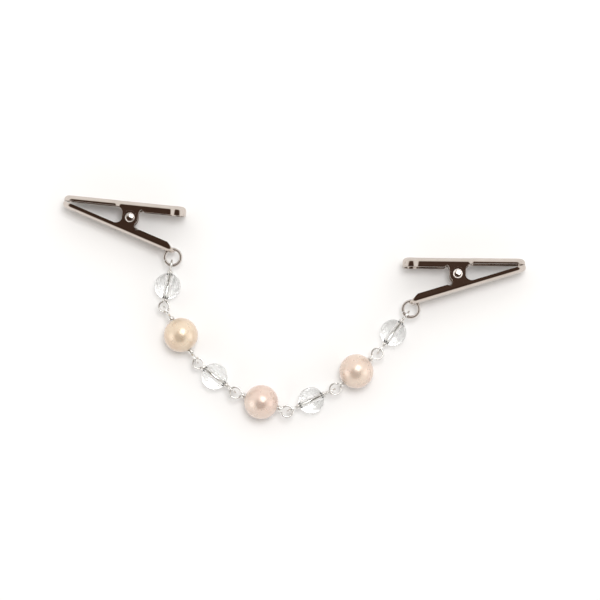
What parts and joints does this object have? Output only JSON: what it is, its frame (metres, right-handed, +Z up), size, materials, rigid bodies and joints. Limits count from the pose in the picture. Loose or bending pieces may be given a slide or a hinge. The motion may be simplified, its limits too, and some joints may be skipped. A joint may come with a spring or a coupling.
{
  "type": "beaded sweater clip chain",
  "caption": "Sweater clip: a short chain of wrapped-wire links with clear round beads and pearls, with a small sprung metal clip on a jump ring at each end.",
  "frame": {"origin": "middle of the bounding box, on the surface that the chain lies on", "axes": "+X from the left clip to the right clip, +Y from the hanging beads towards the clips, +Z up off the surface"},
  "size_m": [0.107, 0.0518, 0.008],
  "materials": {
    "nickel": "polished",
    "rivet_nickel": "polished",
    "spring_steel": "satin",
    "silver_wire": "polished",
    "clear_crystal": "polished",
    "pearl_nacre": "gloss"
  },
  "bodies": {
    "centre_link": {"pearl_wire_2": "silver_wire"},
    "crystal_link_1": {"crystal_wire_1": "silver_wire"},
    "pearl_link_1": {"pearl_wire_1": "silver_wire"},
    "crystal_link_2": {"crystal_wire_2": "silver_wire"},
    "crystal_link_3": {"crystal_wire_3": "silver_wire"},
    "pearl_link_3": {"pearl_wire_3": "silver_wire"},
    "crystal_link_4": {"crystal_wire_4": "silver_wire"},
    "crystal_bead_1": {"crystal_bead_1": "clear_crystal"},
    "pearl_1": {"pearl_1": "pearl_nacre"},
    "crystal_bead_2": {"crystal_bead_2": "clear_crystal"},
    "pearl_2": {"pearl_2": "pearl_nacre"},
    "crystal_bead_3": {"crystal_bead_3": "clear_crystal"},
    "pearl_3": {"pearl_3": "pearl_nacre"},
    "crystal_bead_4": {"crystal_bead_4": "clear_crystal"},
    "left_jump_ring": {"left_jump_ring": "rivet_nickel"},
    "left_clip_body": {"left_ring_lever": "nickel", "left_rivet": "rivet_nickel", "left_spring": "spring_steel"},
    "left_thumb_lever": {"left_thumb_lever": "nickel"},
    "right_jump_ring": {"right_jump_ring": "rivet_nickel"},
    "right_clip_body": {"right_ring_lever": "nickel", "right_rivet": "rivet_nickel", "right_spring": "spring_steel"},
    "right_thumb_lever": {"right_thumb_lever": "nickel"}
  },
  "joints": [
    {"name": "crystal_link_3_swing", "type": "hinge", "parent": "centre_link", "child": "crystal_link_3", "pos_m": [-0.00171, -0.02407, 0.00325], "axis": [0, 0, 1], "range_deg": [-40, 40]},
    {"name": "pearl_link_3_swing", "type": "hinge", "parent": "crystal_link_3", "child": "pearl_link_3", "pos_m": [0.00944, -0.01887, 0.00325], "axis": [0, 0, -1], "range_deg": [-40, 40]},
    {"name": "crystal_link_4_swing", "type": "hinge", "parent": "pearl_link_3", "child": "crystal_link_4", "pos_m": [0.01917, -0.01071, 0.00325], "axis": [0, 0, 1], "range_deg": [-40, 40]},
    {"name": "crystal_link_2_swing", "type": "hinge", "parent": "centre_link", "child": "crystal_link_2", "pos_m": [-0.01365, -0.01973, 0.00325], "axis": [0, 0, 1], "range_deg": [-40, 40]},
    {"name": "pearl_link_1_swing", "type": "hinge", "parent": "crystal_link_2", "child": "pearl_link_1", "pos_m": [-0.02231, -0.01295, 0.00325], "axis": [0, 0, -1], "range_deg": [-40, 40]},
    {"name": "crystal_link_1_swing", "type": "hinge", "parent": "pearl_link_1", "child": "crystal_link_1", "pos_m": [-0.03019, 0.00016, 0.00325], "axis": [0, 0, 1], "range_deg": [-40, 40]},
    {"name": "left_ring_swing", "type": "hinge", "parent": "crystal_link_1", "child": "left_jump_ring", "pos_m": [-0.02818, 0.01158, 0.0037], "axis": [0, 0, 1], "range_deg": [-30, 30]},
    {"name": "left_clip_swing", "type": "hinge", "parent": "left_jump_ring", "child": "left_clip_body", "pos_m": [-0.02818, 0.01158, 0.0037], "axis": [0, 0, -1], "range_deg": [-25, 25]},
    {"name": "left_jaw_hinge", "type": "hinge", "parent": "left_clip_body", "child": "left_thumb_lever", "pos_m": [-0.03799, 0.02068, 0.0035], "axis": [0, 0, -1], "range_deg": [0, 28], "stiffness_Nm_per_rad": 0.02, "springref_deg": -34.38, "deforming": ["left_spring"]},
    {"name": "right_ring_swing", "type": "hinge", "parent": "crystal_link_4", "child": "right_jump_ring", "pos_m": [0.02693, -0.00041, 0.0037], "axis": [0, 0, -1], "range_deg": [-30, 30]},
    {"name": "right_clip_swing", "type": "hinge", "parent": "right_jump_ring", "child": "right_clip_body", "pos_m": [0.02693, -0.00041, 0.0037], "axis": [0, 0, 1], "range_deg": [-25, 25]},
    {"name": "right_jaw_hinge", "type": "hinge", "parent": "right_clip_body", "child": "right_thumb_lever", "pos_m": [0.03771, 0.00751, 0.00354], "axis": [-0.0097, 0.0691, 0.9976], "range_deg": [0, 28], "stiffness_Nm_per_rad": 0.02, "springref_deg": -34.38, "deforming": ["right_spring"]},
    {"name": "crystal_bead_1_spin", "type": "hinge", "parent": "crystal_link_1", "child": "crystal_bead_1", "pos_m": [-0.02935, 0.00494, 0.003], "axis": [-0.1736, -0.9848, 0], "continuous": true},
    {"name": "pearl_1_spin", "type": "hinge", "parent": "pearl_link_1", "child": "pearl_1", "pos_m": [-0.02625, -0.0064, 0.004], "axis": [0.515, -0.8572, 0], "continuous": true},
    {"name": "crystal_bead_2_spin", "type": "hinge", "parent": "crystal_link_2", "child": "crystal_bead_2", "pos_m": [-0.01849, -0.01594, 0.003], "axis": [0.788, -0.6157, 0], "continuous": true},
    {"name": "pearl_2_spin", "type": "hinge", "parent": "centre_link", "child": "pearl_2", "pos_m": [-0.00768, -0.0219, 0.004], "axis": [0.9397, -0.342, 0], "continuous": true},
    {"name": "crystal_bead_3_spin", "type": "hinge", "parent": "crystal_link_3", "child": "crystal_bead_3", "pos_m": [0.00386, -0.02147, 0.003], "axis": [0.9063, 0.4226, 0], "continuous": true},
    {"name": "pearl_3_spin", "type": "hinge", "parent": "pearl_link_3", "child": "pearl_3", "pos_m": [0.0143, -0.01479, 0.004], "axis": [0.766, 0.6428, 0], "continuous": true},
    {"name": "crystal_bead_4_spin", "type": "hinge", "parent": "crystal_link_4", "child": "crystal_bead_4", "pos_m": [0.02287, -0.0058, 0.003], "axis": [0.6018, 0.7986, 0], "continuous": true}
  ]
}
